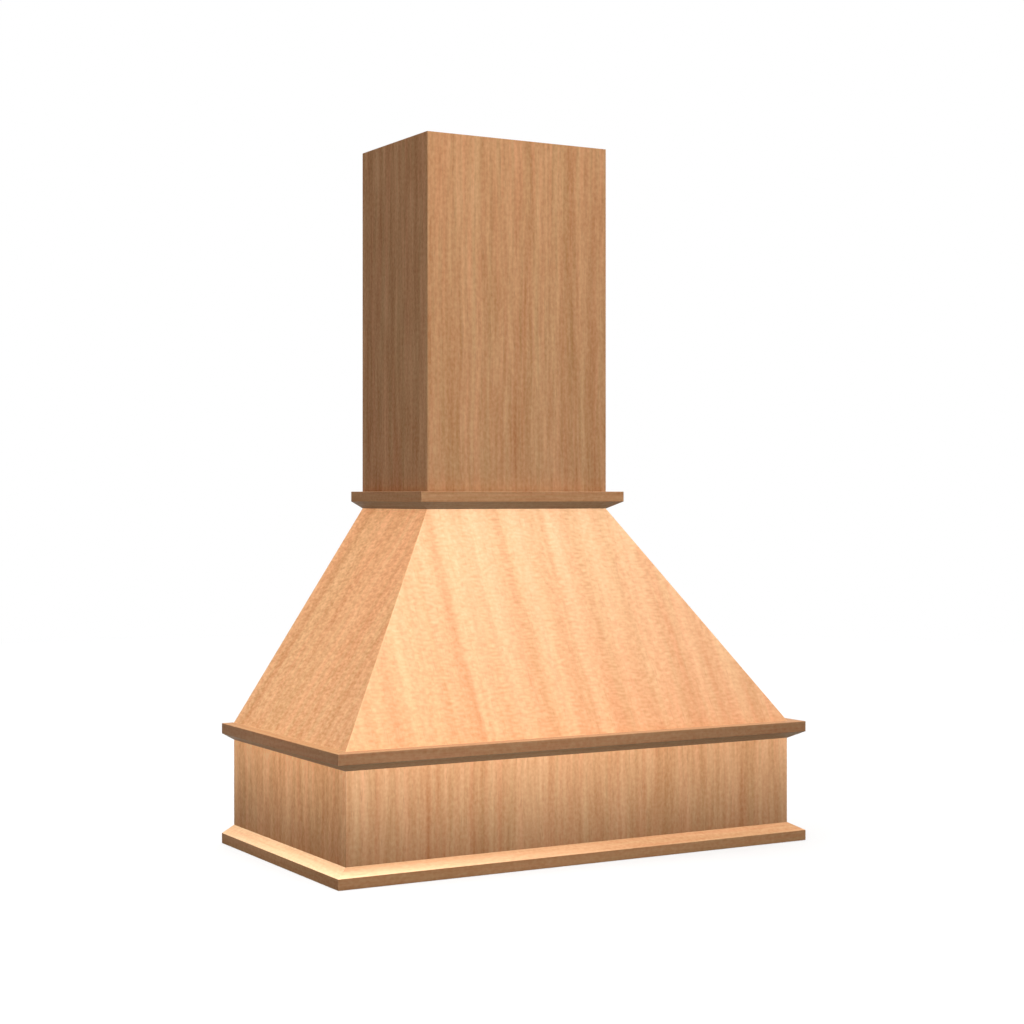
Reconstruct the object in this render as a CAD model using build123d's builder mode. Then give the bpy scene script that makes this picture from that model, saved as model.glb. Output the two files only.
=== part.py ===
from build123d import *
import os

# Wooden range hood cover, hung on a kitchen wall above a hob.
# An upright apron box carries a tapered canopy, and the canopy carries a square chimney
# that hides the duct. Three mitred mouldings dress the foot of the apron, the shelf
# between apron and canopy, and the collar between canopy and chimney. The back is open
# to the wall, the chimney is open to the ceiling, and a recessed board inside the apron
# carries the extractor insert.
#
# Frame: +Z is up and the front faces -Y. The origin is on the wall plane, midway along
# the underside. Sizes are in millimetres.

# Outside of the boxes, without their mouldings
body_width = 868.0
body_depth = 465.0
apron_height = 200.0
canopy_rise = 378.5
chimney_width = 365.0
chimney_depth = 258.0
chimney_height = 639.5

# Panel stock
apron_thickness = 19.0
canopy_thickness = 12.7
chimney_thickness = 12.7
arris = 1.0  # width taken off a sharp outside corner

# Moulding stock: an upright fascia and a bevel that runs back to the panel
moulding_projection = 23.0
moulding_fascia = 18.0
moulding_bevel = 12.7

# Loose tongues in the mitres
spline_width = 9.0
spline_thickness = 3.0
spline_end_gap = 0.4

# Glue blocks in the inside corners
apron_block_leg = 40.0
chimney_block_leg = 30.0
hip_block_leg = 35.0

# Half-lapped plywood frames on top of the apron and of the canopy
shelf_frame_thickness = 12.0
shelf_frame_width = 60.0
neck_frame_thickness = 12.0

# Rails across the open back, all but the neck's screwed to the wall
rail_thickness = 19.0
lower_rail_height = 89.0
canopy_rail_height = 70.0
neck_rail_height = 60.0
chimney_lower_rail_height = 70.0
chimney_upper_rail_height = 89.0
wall_hole_radius = 2.75
wall_sink_radius = 5.5
stud_spacing = 406.4
chimney_hole_spacing = 200.0

# Recessed board that carries the extractor insert, and the ledgers that it hangs from
board_recess = 25.0
board_thickness = 12.0
board_gap = 0.5
board_rim = 64.0
ledger_size = 19.0

# Cleats that hold the canopy and the chimney to their frames
canopy_cleat_width = 32.0
canopy_cleat_height = 19.0
chimney_cleat_thickness = 16.0
chimney_cleat_height = 38.0

# Countersunk wood screws, driven up through a board into the strip above it
screw_bite = 13.0  # how far a screw reaches into the strip
screw_radius = 2.0
screw_head_radius = 4.0
screw_point = 4.0  # length of the tapered tip
screw_gap = 0.15
board_screw_margin = 90.0  # from the end of a strip to its first screw
board_screws_per_side = 3
chimney_screw_margin = 50.0
chimney_screws_per_side = 2

# Levels
shelf_level = apron_height + shelf_frame_thickness
neck_level = shelf_level + canopy_rise
chimney_level = neck_level + neck_frame_thickness
top_level = chimney_level + chimney_height
moulding_height = moulding_fascia + moulding_bevel
board_top = board_recess + board_thickness
ledger_top = board_top + ledger_size
cleat_top = shelf_level + canopy_cleat_height

# Slopes of the canopy. A run is how far a face leans in between shelf and neck, and a
# seat is how much of a level plane the leaning panel covers.
side_run = (body_width - chimney_width) / 2
front_run = body_depth - chimney_depth
side_slant = Vector(side_run, 0, canopy_rise)
front_slant = Vector(0, front_run, canopy_rise)
side_seat = canopy_thickness * side_slant.length / canopy_rise
front_seat = canopy_thickness * front_slant.length / canopy_rise

# The hip is the corner between the leaning front and left panels
hip_foot = Vector(-body_width / 2, -body_depth, shelf_level)
hip_run = Vector(side_run, front_run, canopy_rise)
hip_seat = Vector(side_seat, front_seat, 0)
left_hip = Plane(hip_foot, z_dir=hip_seat.cross(hip_run))

os.makedirs("parts", exist_ok=True)


def save(piece, name):
    """Labels a finished piece and writes it to its own file."""
    piece.part.label = name
    export_step(piece.part, f"parts/{name}.step")


def save_pair(left, name):
    """Writes a left-hand piece and its mirror image."""
    with BuildPart() as right:
        mirror(left.part, about=Plane.YZ)
    save(left, f"{name}_left")
    save(right, f"{name}_right")


def mirrored(plane):
    """The plane's mirror image, on the other side of the middle."""
    origin = plane.origin
    normal = plane.z_dir
    return Plane(
        (-origin.X, origin.Y, origin.Z), z_dir=(-normal.X, normal.Y, normal.Z)
    )


right_hip = mirrored(left_hip)


# Upright boxes: the apron and the chimney ------------------------------------------


def box_panels(name, width, depth, thickness, bottom, height):
    """Front and side panels, mitred at the front corners and grooved for a tongue."""
    middle = thickness / 2
    groove = spline_width + 2 * spline_end_gap
    with BuildPart() as front:
        with BuildSketch(Plane.XY.offset(bottom)):
            with BuildLine():
                Polyline(
                    (-width / 2 + arris, -depth),
                    (width / 2 - arris, -depth),
                    (width / 2 - arris / 2, -depth + arris / 2),
                    (width / 2 - thickness, -depth + thickness),
                    (-width / 2 + thickness, -depth + thickness),
                    (-width / 2 + arris / 2, -depth + arris / 2),
                    close=True,
                )
            make_face()
            for side in (-1, 1):
                with Locations((side * (width / 2 - middle), middle - depth)):
                    Rectangle(
                        groove, spline_thickness, rotation=side * 45, mode=Mode.SUBTRACT
                    )
        extrude(amount=height)
    save(front, f"{name}_panel_front")

    with BuildPart() as left:
        with BuildSketch(Plane.XY.offset(bottom)):
            with BuildLine():
                Polyline(
                    (-width / 2, 0),
                    (-width / 2, -depth + arris),
                    (-width / 2 + arris / 2, -depth + arris / 2),
                    (-width / 2 + thickness, -depth + thickness),
                    (-width / 2 + thickness, 0),
                    close=True,
                )
            make_face()
            with Locations((middle - width / 2, middle - depth)):
                Rectangle(groove, spline_thickness, rotation=-45, mode=Mode.SUBTRACT)
        extrude(amount=height)
    save_pair(left, f"{name}_panel")

    with BuildPart() as spline:
        with BuildSketch(Plane.XY.offset(bottom)):
            with Locations((middle - width / 2, middle - depth)):
                Rectangle(spline_width, spline_thickness, rotation=-45)
        extrude(amount=height)
    save_pair(spline, f"{name}_mitre_spline")


def corner_blocks(name, width, depth, thickness, leg, bottom, top):
    """Three-cornered glue blocks in the front corners of a box."""
    corner = Vector(-width / 2 + thickness, -depth + thickness)
    with BuildPart() as block:
        with BuildSketch(Plane.XY.offset(bottom)):
            with BuildLine():
                Polyline(
                    corner,
                    corner + Vector(leg, 0),
                    corner + Vector(0, leg),
                    close=True,
                )
            make_face()
        extrude(amount=top - bottom)
    save_pair(block, f"{name}_corner_block")


box_panels("apron", body_width, body_depth, apron_thickness, 0, apron_height)
corner_blocks(
    "apron",
    body_width,
    body_depth,
    apron_thickness,
    apron_block_leg,
    ledger_top,
    apron_height,
)

box_panels(
    "chimney",
    chimney_width,
    chimney_depth,
    chimney_thickness,
    chimney_level,
    chimney_height,
)
corner_blocks(
    "chimney",
    chimney_width,
    chimney_depth,
    chimney_thickness,
    chimney_block_leg,
    chimney_level + chimney_cleat_height,
    top_level,
)


# Mouldings -------------------------------------------------------------------------


def moulding_section(plane, bevel_on_top):
    """The stock's section, with its back on the panel and its outer arrises eased."""
    with BuildSketch(plane) as section:
        with BuildLine():
            if bevel_on_top:
                Polyline(
                    (0, 0),
                    (moulding_projection, 0),
                    (moulding_projection, moulding_fascia),
                    (0, moulding_height),
                    close=True,
                )
            else:
                Polyline(
                    (0, 0),
                    (moulding_projection, moulding_bevel),
                    (moulding_projection, moulding_height),
                    (0, moulding_height),
                    close=True,
                )
        make_face()
        fillet(section.vertices().group_by(Axis.X)[-1], arris)
    return section.sketch


def mitred_moulding(name, width, depth, bottom, bevel_on_top):
    """A front length and two returns to the wall, mitred at the front corners."""
    left_mitre = Plane((-width / 2, -depth, 0), z_dir=(-1, 1, 0))
    right_mitre = Plane((width / 2, -depth, 0), z_dir=(1, 1, 0))
    overall = width + 2 * moulding_projection
    right_end = Plane((overall / 2, -depth, bottom), x_dir=(0, -1, 0), z_dir=(-1, 0, 0))
    front_section = moulding_section(right_end, bevel_on_top)
    with BuildPart() as front:
        extrude(front_section, amount=overall)
        split(bisect_by=left_mitre, keep=Keep.BOTTOM)
        split(bisect_by=right_mitre, keep=Keep.BOTTOM)
    save(front, f"{name}_front")

    wall_end = Plane((-width / 2, 0, bottom), x_dir=(-1, 0, 0), z_dir=(0, 1, 0))
    side_section = moulding_section(wall_end, bevel_on_top)
    with BuildPart() as left:
        extrude(side_section, amount=-depth - moulding_projection)
        split(bisect_by=left_mitre, keep=Keep.TOP)
    save_pair(left, name)


mitred_moulding("base_moulding", body_width, body_depth, 0, True)
mitred_moulding(
    "shelf_moulding", body_width, body_depth, shelf_level - moulding_height, False
)
mitred_moulding("collar_moulding", chimney_width, chimney_depth, neck_level, False)


# Canopy ----------------------------------------------------------------------------
# Each panel is a blank that is longer than needed, sawn level at shelf and neck and
# along the hips, where the mitre halves the corner between the two slopes.

front_face = Plane(
    (0, -body_depth, shelf_level),
    x_dir=(1, 0, 0),
    z_dir=(0, -canopy_rise, front_run),
)
left_face = Plane(
    (-body_width / 2, 0, shelf_level),
    x_dir=(0, -1, 0),
    z_dir=(-canopy_rise, 0, side_run),
)
spare = 2 * canopy_thickness
hip_outward = (front_face.z_dir + left_face.z_dir).normalized()
left_arris = Plane(hip_foot - hip_outward * arris / 2, z_dir=hip_outward)
right_arris = mirrored(left_arris)


def along_hip(width):
    """A bar of the tongue's thickness in the middle of the left mitre, sawn level."""
    with BuildPart() as bar:
        with BuildSketch(
            Plane(hip_foot + hip_seat / 2, x_dir=left_hip.z_dir, z_dir=hip_run)
        ):
            Rectangle(width, spline_thickness)
        extrude(amount=hip_run.length + spare)
        extrude(bar.faces().sort_by(Axis.Z)[0], amount=spare)
        split(bisect_by=Plane.XY.offset(shelf_level), keep=Keep.TOP)
        split(bisect_by=Plane.XY.offset(neck_level), keep=Keep.BOTTOM)
    return bar.part


canopy_groove = along_hip(spline_width + 2 * spline_end_gap)

with BuildPart() as canopy_front:
    with BuildSketch(front_face):
        with Locations((0, front_slant.length / 2)):
            Rectangle(body_width, front_slant.length + 2 * spare)
    extrude(amount=-canopy_thickness)
    split(bisect_by=Plane.XY.offset(shelf_level), keep=Keep.TOP)
    split(bisect_by=Plane.XY.offset(neck_level), keep=Keep.BOTTOM)
    for hip, hip_arris in ((left_hip, left_arris), (right_hip, right_arris)):
        split(bisect_by=hip, keep=Keep.TOP)
        split(bisect_by=hip_arris, keep=Keep.BOTTOM)
    add(canopy_groove, mode=Mode.SUBTRACT)
    mirror(canopy_groove, about=Plane.YZ, mode=Mode.SUBTRACT)
save(canopy_front, "canopy_panel_front")

with BuildPart() as canopy_side:
    with BuildSketch(left_face):
        with Locations((body_depth / 2, side_slant.length / 2)):
            Rectangle(body_depth, side_slant.length + 2 * spare)
    extrude(amount=-canopy_thickness)
    split(bisect_by=Plane.XY.offset(shelf_level), keep=Keep.TOP)
    split(bisect_by=Plane.XY.offset(neck_level), keep=Keep.BOTTOM)
    split(bisect_by=left_hip, keep=Keep.BOTTOM)
    split(bisect_by=left_arris, keep=Keep.BOTTOM)
    add(canopy_groove, mode=Mode.SUBTRACT)
save_pair(canopy_side, "canopy_panel")

with BuildPart() as canopy_spline:
    add(along_hip(spline_width))
save_pair(canopy_spline, "canopy_mitre_spline")


def inner_corner(level):
    """The front left corner of the space inside the canopy, at a level."""
    share = (level - shelf_level) / canopy_rise
    return hip_foot + hip_seat + hip_run * share


with BuildPart() as hip_block:
    foot = inner_corner(cleat_top)
    with BuildSketch(Plane.XY.offset(cleat_top)):
        with BuildLine():
            Polyline(
                (foot.X, foot.Y),
                (foot.X + hip_block_leg, foot.Y),
                (foot.X, foot.Y + hip_block_leg),
                close=True,
            )
        make_face()
    climb = inner_corner(neck_level) - foot
    extrude(amount=climb.length, dir=climb)
save_pair(hip_block, "hip_block")


# Plywood frames on top of the apron and of the canopy -------------------------------


def spread(count, start, end, margin):
    """Even places for screws along a strip, set in from its ends by a margin."""
    first = start + margin
    last = end - margin
    return [first + (last - first) * step / (count - 1) for step in range(count)]


def lapped_frame(name, width, depth, rail_width, thickness, bottom, side_holes=()):
    """Four flat rails, half-lapped at the corners, the side ones drilled for screws."""
    lap = thickness / 2
    for side, middle in (("front", rail_width / 2 - depth), ("rear", -rail_width / 2)):
        with BuildPart() as rail:
            with BuildSketch(Plane.XY.offset(bottom)):
                with Locations((0, middle)):
                    Rectangle(width, rail_width)
            extrude(amount=thickness)
            with BuildSketch(Plane.XY.offset(bottom + lap)):
                with Locations((0, middle)):
                    with GridLocations(width - rail_width, 0, 2, 1):
                        Rectangle(rail_width, rail_width)
            extrude(amount=lap, mode=Mode.SUBTRACT)
        save(rail, f"{name}_{side}")

    with BuildPart() as left:
        with BuildSketch(Plane.XY.offset(bottom)):
            with Locations(((rail_width - width) / 2, -depth / 2)):
                Rectangle(rail_width, depth)
        extrude(amount=thickness)
        with BuildSketch(Plane.XY.offset(bottom)):
            with Locations(((rail_width - width) / 2, -depth / 2)):
                with GridLocations(0, depth - rail_width, 1, 2):
                    Rectangle(rail_width, rail_width)
        extrude(amount=lap, mode=Mode.SUBTRACT)
        drill_up(side_holes, bottom, thickness)
    save_pair(left, name)


def drill_up(places, bottom, thickness):
    """Countersunk screw holes through a board, from its underside."""
    for x, y in places:
        with Locations(Plane((x, y, bottom), z_dir=(0, 0, -1))):
            CounterSinkHole(
                screw_radius + screw_gap,
                screw_head_radius + screw_gap,
                depth=thickness,
                counter_sink_angle=90,
            )


def drill_pilots(places, bottom):
    """Blind pilot holes into the strip that the screws hold."""
    for x, y in places:
        with Locations(Plane((x, y, bottom), z_dir=(0, 0, -1))):
            Hole(screw_radius + screw_gap, depth=screw_bite + screw_gap)


def screws(name, places, bottom, thickness):
    """A group of screws driven upwards, their heads level with a board's underside."""
    length = thickness + screw_bite
    with BuildPart() as screw:
        with BuildSketch(Plane.XZ):
            with BuildLine():
                Polyline(
                    (0, 0),
                    (screw_head_radius, 0),
                    (screw_radius, screw_head_radius - screw_radius),
                    (screw_radius, length - screw_point),
                    (0, length),
                    close=True,
                )
            make_face()
        revolve(axis=Axis.Z)
    with BuildPart() as group:
        with Locations(*[(x, y, bottom) for x, y in places]):
            add(screw.part)
    save(group, name)


lapped_frame(
    "shelf_frame",
    body_width,
    body_depth,
    shelf_frame_width,
    shelf_frame_thickness,
    apron_height,
)

chimney_side_x = -chimney_width / 2 + chimney_thickness
chimney_front_y = -chimney_depth + chimney_thickness
chimney_cleat_middle = chimney_cleat_thickness / 2
chimney_left_row = [
    (chimney_side_x + chimney_cleat_middle, y)
    for y in spread(
        chimney_screws_per_side,
        chimney_front_y + chimney_cleat_thickness,
        -rail_thickness,
        chimney_screw_margin,
    )
]
chimney_right_row = [(-x, y) for x, y in chimney_left_row]
lapped_frame(
    "neck_frame",
    chimney_width,
    chimney_depth,
    chimney_thickness + chimney_cleat_thickness,
    neck_frame_thickness,
    neck_level,
    chimney_left_row,
)
screws(
    "chimney_cleat_screws",
    chimney_left_row + chimney_right_row,
    neck_level,
    neck_frame_thickness,
)


# Cleats ----------------------------------------------------------------------------
# They stand on the frames inside the panels, so their outer faces follow the panels.
# The canopy's are glued down, and the chimney's side cleats are screwed from below.

shelf_corner = inner_corner(shelf_level)
cleat_corner = inner_corner(cleat_top)

with BuildPart() as canopy_cleat_front:
    with BuildSketch(Plane.YZ):
        with BuildLine():
            Polyline(
                (shelf_corner.Y, shelf_level),
                (shelf_corner.Y + canopy_cleat_width, shelf_level),
                (shelf_corner.Y + canopy_cleat_width, cleat_top),
                (cleat_corner.Y, cleat_top),
                close=True,
            )
        make_face()
    extrude(amount=body_width / 2, both=True)
    split(bisect_by=left_hip, keep=Keep.TOP)
    split(bisect_by=right_hip, keep=Keep.TOP)
save(canopy_cleat_front, "canopy_cleat_front")

with BuildPart() as canopy_cleat_side:
    with BuildSketch(Plane.XZ.offset(rail_thickness)):
        with BuildLine():
            Polyline(
                (shelf_corner.X, shelf_level),
                (shelf_corner.X + canopy_cleat_width, shelf_level),
                (shelf_corner.X + canopy_cleat_width, cleat_top),
                (cleat_corner.X, cleat_top),
                close=True,
            )
        make_face()
    extrude(amount=body_depth - rail_thickness)
    split(bisect_by=left_hip, keep=Keep.BOTTOM)
save_pair(canopy_cleat_side, "canopy_cleat")

with BuildPart() as chimney_cleat_front:
    with BuildSketch(Plane.XY.offset(chimney_level)):
        with Locations((0, chimney_front_y + chimney_cleat_middle)):
            Rectangle(-2 * chimney_side_x, chimney_cleat_thickness)
    extrude(amount=chimney_cleat_height)
save(chimney_cleat_front, "chimney_cleat_front")

with BuildPart() as chimney_cleat_side:
    cleat_front = chimney_front_y + chimney_cleat_thickness
    cleat_length = -rail_thickness - cleat_front
    with BuildSketch(Plane.XY.offset(chimney_level)):
        with Locations(
            (chimney_side_x + chimney_cleat_middle, cleat_front + cleat_length / 2)
        ):
            Rectangle(chimney_cleat_thickness, cleat_length)
    extrude(amount=chimney_cleat_height)
    drill_pilots(chimney_left_row, chimney_level)
save_pair(chimney_cleat_side, "chimney_cleat")


# Wall rails ------------------------------------------------------------------------


def wall_rail(name, low_width, high_width, bottom, height, holes=()):
    """A rail against the wall, its ends cut to the sides, countersunk from inside."""
    with BuildPart() as rail:
        with BuildSketch(Plane.XZ):
            with BuildLine():
                Polyline(
                    (-low_width / 2, bottom),
                    (low_width / 2, bottom),
                    (high_width / 2, bottom + height),
                    (-high_width / 2, bottom + height),
                    close=True,
                )
            make_face()
        extrude(amount=rail_thickness)
        for x, z in holes:
            with Locations(Plane((x, -rail_thickness, z), z_dir=(0, -1, 0))):
                CounterSinkHole(wall_hole_radius, wall_sink_radius, counter_sink_angle=90)
    save(rail, name)


def hole_pair(spacing, level):
    """Two holes at a level, either side of the middle."""
    return [(-spacing / 2, level), (spacing / 2, level)]


def canopy_clear_width(level):
    """The space between the canopy's side panels, at a level."""
    return -2 * inner_corner(level).X


apron_clear_width = body_width - 2 * apron_thickness
chimney_clear_width = chimney_width - 2 * chimney_thickness
neck_rail_bottom = neck_level - neck_rail_height
chimney_upper_rail_bottom = top_level - chimney_upper_rail_height

wall_rail(
    "lower_wall_rail",
    apron_clear_width,
    apron_clear_width,
    0,
    lower_rail_height,
    hole_pair(stud_spacing, (ledger_top + lower_rail_height) / 2),
)
wall_rail(
    "canopy_wall_rail",
    canopy_clear_width(shelf_level),
    canopy_clear_width(shelf_level + canopy_rail_height),
    shelf_level,
    canopy_rail_height,
    hole_pair(stud_spacing, shelf_level + canopy_rail_height / 2),
)
wall_rail(
    "neck_rail",
    canopy_clear_width(neck_rail_bottom),
    canopy_clear_width(neck_level),
    neck_rail_bottom,
    neck_rail_height,
)
wall_rail(
    "chimney_lower_wall_rail",
    chimney_clear_width,
    chimney_clear_width,
    chimney_level,
    chimney_lower_rail_height,
    hole_pair(chimney_hole_spacing, chimney_level + chimney_lower_rail_height / 2),
)
wall_rail(
    "chimney_upper_wall_rail",
    chimney_clear_width,
    chimney_clear_width,
    chimney_upper_rail_bottom,
    chimney_upper_rail_height,
    hole_pair(
        chimney_hole_spacing, chimney_upper_rail_bottom + chimney_upper_rail_height / 2
    ),
)


# Insert board and its ledgers ------------------------------------------------------

clear_side = apron_clear_width / 2
clear_front = -body_depth + apron_thickness
clear_depth = -rail_thickness - clear_front
clear_middle = clear_front + clear_depth / 2
ledger_middle = ledger_size / 2
ledger_front_row = [
    (x, clear_front + ledger_middle)
    for x in spread(board_screws_per_side, -clear_side, clear_side, board_screw_margin)
]
ledger_rear_row = [(x, -rail_thickness - ledger_middle) for x, y in ledger_front_row]

with BuildPart() as insert_board:
    board_width = apron_clear_width - 2 * board_gap
    board_depth = clear_depth - 2 * board_gap
    with BuildSketch(Plane.XY.offset(board_recess)):
        with Locations((0, clear_middle)):
            Rectangle(board_width, board_depth)
            Rectangle(
                board_width - 2 * board_rim,
                board_depth - 2 * board_rim,
                mode=Mode.SUBTRACT,
            )
    extrude(amount=board_thickness)
    drill_up(ledger_front_row + ledger_rear_row, board_recess, board_thickness)
save(insert_board, "insert_board")
screws(
    "insert_board_screws",
    ledger_front_row + ledger_rear_row,
    board_recess,
    board_thickness,
)

for side, middle, row in (
    ("front", clear_front + ledger_middle, ledger_front_row),
    ("rear", -rail_thickness - ledger_middle, ledger_rear_row),
):
    with BuildPart() as ledger:
        with BuildSketch(Plane.XY.offset(board_top)):
            with Locations((0, middle)):
                Rectangle(apron_clear_width, ledger_size)
        extrude(amount=ledger_size)
        drill_pilots(row, board_top)
    save(ledger, f"ledger_{side}")

with BuildPart() as ledger_side:
    with BuildSketch(Plane.XY.offset(board_top)):
        with Locations((-clear_side + ledger_middle, clear_middle)):
            Rectangle(ledger_size, clear_depth - 2 * ledger_size)
    extrude(amount=ledger_size)
save_pair(ledger_side, "ledger")
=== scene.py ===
# Wooden range hood cover: the finishes and the small hardware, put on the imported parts.
import math

import bpy
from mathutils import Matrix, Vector


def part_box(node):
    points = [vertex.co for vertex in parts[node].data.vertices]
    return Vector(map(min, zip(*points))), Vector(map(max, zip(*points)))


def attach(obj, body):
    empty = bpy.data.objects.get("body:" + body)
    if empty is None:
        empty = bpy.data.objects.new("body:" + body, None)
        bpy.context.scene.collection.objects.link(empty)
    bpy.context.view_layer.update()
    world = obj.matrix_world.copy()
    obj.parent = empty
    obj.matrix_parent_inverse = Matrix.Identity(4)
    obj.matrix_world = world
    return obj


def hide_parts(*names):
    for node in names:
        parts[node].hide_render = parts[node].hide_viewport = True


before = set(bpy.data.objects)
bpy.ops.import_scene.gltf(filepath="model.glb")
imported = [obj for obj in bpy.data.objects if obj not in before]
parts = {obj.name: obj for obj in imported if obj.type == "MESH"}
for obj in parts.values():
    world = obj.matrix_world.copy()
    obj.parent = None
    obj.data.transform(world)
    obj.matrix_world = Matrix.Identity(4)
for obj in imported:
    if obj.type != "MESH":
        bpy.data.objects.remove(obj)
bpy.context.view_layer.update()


# ---------------------------------------------------------------------------------------------
# Apron box: three 19 mm boards round the cooker side of the cover. Each is plywood with a
# straight-grained reddish veneer outside and plain birch inside. They are mitred at the front
# corners, glued, rubbed down and lacquered satin.

def plug(tree, socket, value):
    """Gives a shader socket a link or a plain value."""
    if isinstance(value, bpy.types.NodeSocket):
        tree.links.new(value, socket)
    else:
        socket.default_value = value


def add_node(tree, kind, inputs, **settings):
    """A new shader node, with a link or a plain value for each named or numbered input."""
    node = tree.nodes.new("ShaderNode" + kind)
    for label, setting in settings.items():
        setattr(node, label, setting)
    for key, value in inputs.items():
        plug(tree, node.inputs[key], value)
    return node.outputs


def maths(tree, operation, *operands):
    return add_node(tree, "Math", dict(enumerate(operands)), operation=operation)[0]


def vectors(tree, operation, *operands):
    outputs = add_node(tree, "VectorMath", dict(enumerate(operands)), operation=operation)
    return outputs["Value" if operation == "DOT_PRODUCT" else "Vector"]


def combine(tree, x, y, z):
    return add_node(tree, "CombineXYZ", {"X": x, "Y": y, "Z": z})[0]


def stretch(tree, value, low, high, start=0.0, end=1.0):
    """Stretches the part of a value between low and high to run from start to end."""
    return add_node(tree, "MapRange", {"Value": value, "From Min": low, "From Max": high,
                                       "To Min": start, "To Max": end})[0]


def mottle(tree, place, cell, detail=2.0):
    """Soft noise whose blotches measure cell, in metres, across, into and along the wood."""
    return add_node(tree, "TexNoise", {"Vector": vectors(tree, "DIVIDE", place, cell),
                                       "Scale": 1.0, "Detail": detail})[0]


def blend(tree, share, first, second, mode="MIX"):
    """Two colours or heights, mixed by a share of 0 for the first to 1 for the second."""
    return add_node(tree, "Mix", {0: share, 6: first, 7: second}, data_type="RGBA",
                    blend_type=mode)[2]


def tint(tree, base, mask, strength, colour):
    """Lays a colour over the base where the mask is 1, as strongly as strength says."""
    return blend(tree, maths(tree, "MULTIPLY", mask, strength), base, colour)


def paint(red, green, blue):
    """A colour as it looks on a screen, 0 to 255, as the shader wants it."""
    levels = [c / 255 for c in (red, green, blue)]
    return (*[c / 12.92 if c <= 0.04045 else ((c + 0.055) / 1.055) ** 2.4 for c in levels], 1.0)


def shader_group(name, inputs, outputs):
    """A new shader node group with named sockets, its given values and its results."""
    group = bpy.data.node_groups.new(name, "ShaderNodeTree")
    for direction, sockets in (("INPUT", inputs), ("OUTPUT", outputs)):
        for label, kind in sockets.items():
            group.interface.new_socket(
                name=label, in_out=direction, socket_type="NodeSocket" + kind)
    given = group.nodes.new("NodeGroupInput").outputs
    results = group.nodes.new("NodeGroupOutput").inputs
    return group, given, results


def place_group(tree, group, **values):
    return add_node(tree, "Group", values, node_tree=group)


# Where a point is in the wood: across the grain, into the board and along the grain. The shift
# is the board's place in the log, and the drift moves it along the log as well.
LOG_DRIFT = 1.37
grain_axes, given, results = shader_group(
    "grain_axes", {"Across": "Vector", "Along": "Vector", "Shift": "Float"},
    {"Place": "Vector", "Depth": "Float", "Length": "Float", "Facing": "Float", "End": "Float",
     "Upward": "Float"})
tree = grain_axes
here = add_node(tree, "TexCoord", {})
outward = vectors(tree, "CROSS_PRODUCT", given["Across"], given["Along"])
across, depth, along = [vectors(tree, "DOT_PRODUCT", here["Object"], axis)
                        for axis in (given["Across"], outward, given["Along"])]
plug(tree, results["Place"], combine(
    tree, maths(tree, "ADD", across, given["Shift"]), depth,
    maths(tree, "MULTIPLY_ADD", given["Shift"], LOG_DRIFT, along)))
plug(tree, results["Depth"], depth)
plug(tree, results["Length"], along)
plug(tree, results["Facing"], vectors(tree, "DOT_PRODUCT", here["Normal"], outward))
plug(tree, results["Upward"], vectors(tree, "DOT_PRODUCT", here["Normal"], (0.0, 0.0, 1.0)))
plug(tree, results["End"], maths(
    tree, "ABSOLUTE", vectors(tree, "DOT_PRODUCT", here["Normal"], given["Along"])))

# Ribbon stripe: broad ribbons and thin streaks along the grain, broken by short flecks and by the
# lights of ripple, with a drift of hue and dark open pores. The lights are beads, which widen to
# bars across the grain in the bands where the wood is curly. Cells are in metres, and the sizes
# of streaks, hues and curls are shares of a ribbon's width, depth and run.
FIGURE = ("Ribbon", "Run", "Broad", "Evenness", "Streak", "Fleck", "Ripple", "Bead Width",
          "Bead Length", "Curl")
SWAY = 0.003
SWAY_CELL = (0.12, 0.12, 0.30)
FLECK_CELL = (0.0048, 0.0048, 0.0068)
PORE_CELL = (0.0016, 0.0016, 0.022)
STREAK_SIZE = (0.28, 0.28, 0.08)
HUE_SIZE = (0.36, 0.36, 0.15)
CURL_SIZE = (0.6, 0.6, 0.4)
BAR_PER_BEAD = (1.6, 1.6, 0.85)
HUE_PLACE = (5.3, 1.7, 2.9)
CURL_PLACE = (3.7, 8.1, 1.9)
RADIANS_PER_RIBBON = 3.6
RADIANS_OF_WANDER = 9.0
ribbon_stripe, given, results = shader_group(
    "ribbon_stripe", {"Place": "Vector", **dict.fromkeys(FIGURE, "Float")},
    {"Stripe": "Float", "Hue": "Float", "Pores": "Float", "Lift": "Float"})
tree = ribbon_stripe
sway = stretch(tree, mottle(tree, given["Place"], SWAY_CELL, 1.0), 0.3, 0.7, -SWAY, SWAY)
swayed = vectors(tree, "ADD", given["Place"], combine(tree, sway, 0.0, 0.0))
band = combine(tree, given["Ribbon"], given["Ribbon"], given["Run"])
broad = mottle(tree, swayed, band, 3.0)
streak = mottle(tree, swayed, vectors(tree, "MULTIPLY", band, STREAK_SIZE), 2.0)
flecks = mottle(tree, swayed, FLECK_CELL, 1.0)
turns = maths(tree, "MULTIPLY_ADD", broad, RADIANS_OF_WANDER, maths(
    tree, "DIVIDE", vectors(tree, "DOT_PRODUCT", swayed, (RADIANS_PER_RIBBON, 0.0, 0.0)),
    given["Ribbon"]))
stripe = maths(tree, "MULTIPLY", maths(tree, "SINE", turns), given["Evenness"])
bead = combine(tree, given["Bead Width"], given["Bead Width"], given["Bead Length"])
beads = mottle(tree, swayed, bead, 1.0)
bars = mottle(tree, swayed, vectors(tree, "MULTIPLY", bead, BAR_PER_BEAD), 0.0)
curl = mottle(tree, vectors(tree, "ADD", swayed, CURL_PLACE),
              vectors(tree, "MULTIPLY", band, CURL_SIZE), 1.0)
curly = maths(tree, "MULTIPLY", given["Curl"], stretch(tree, curl, 0.46, 0.58))
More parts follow.
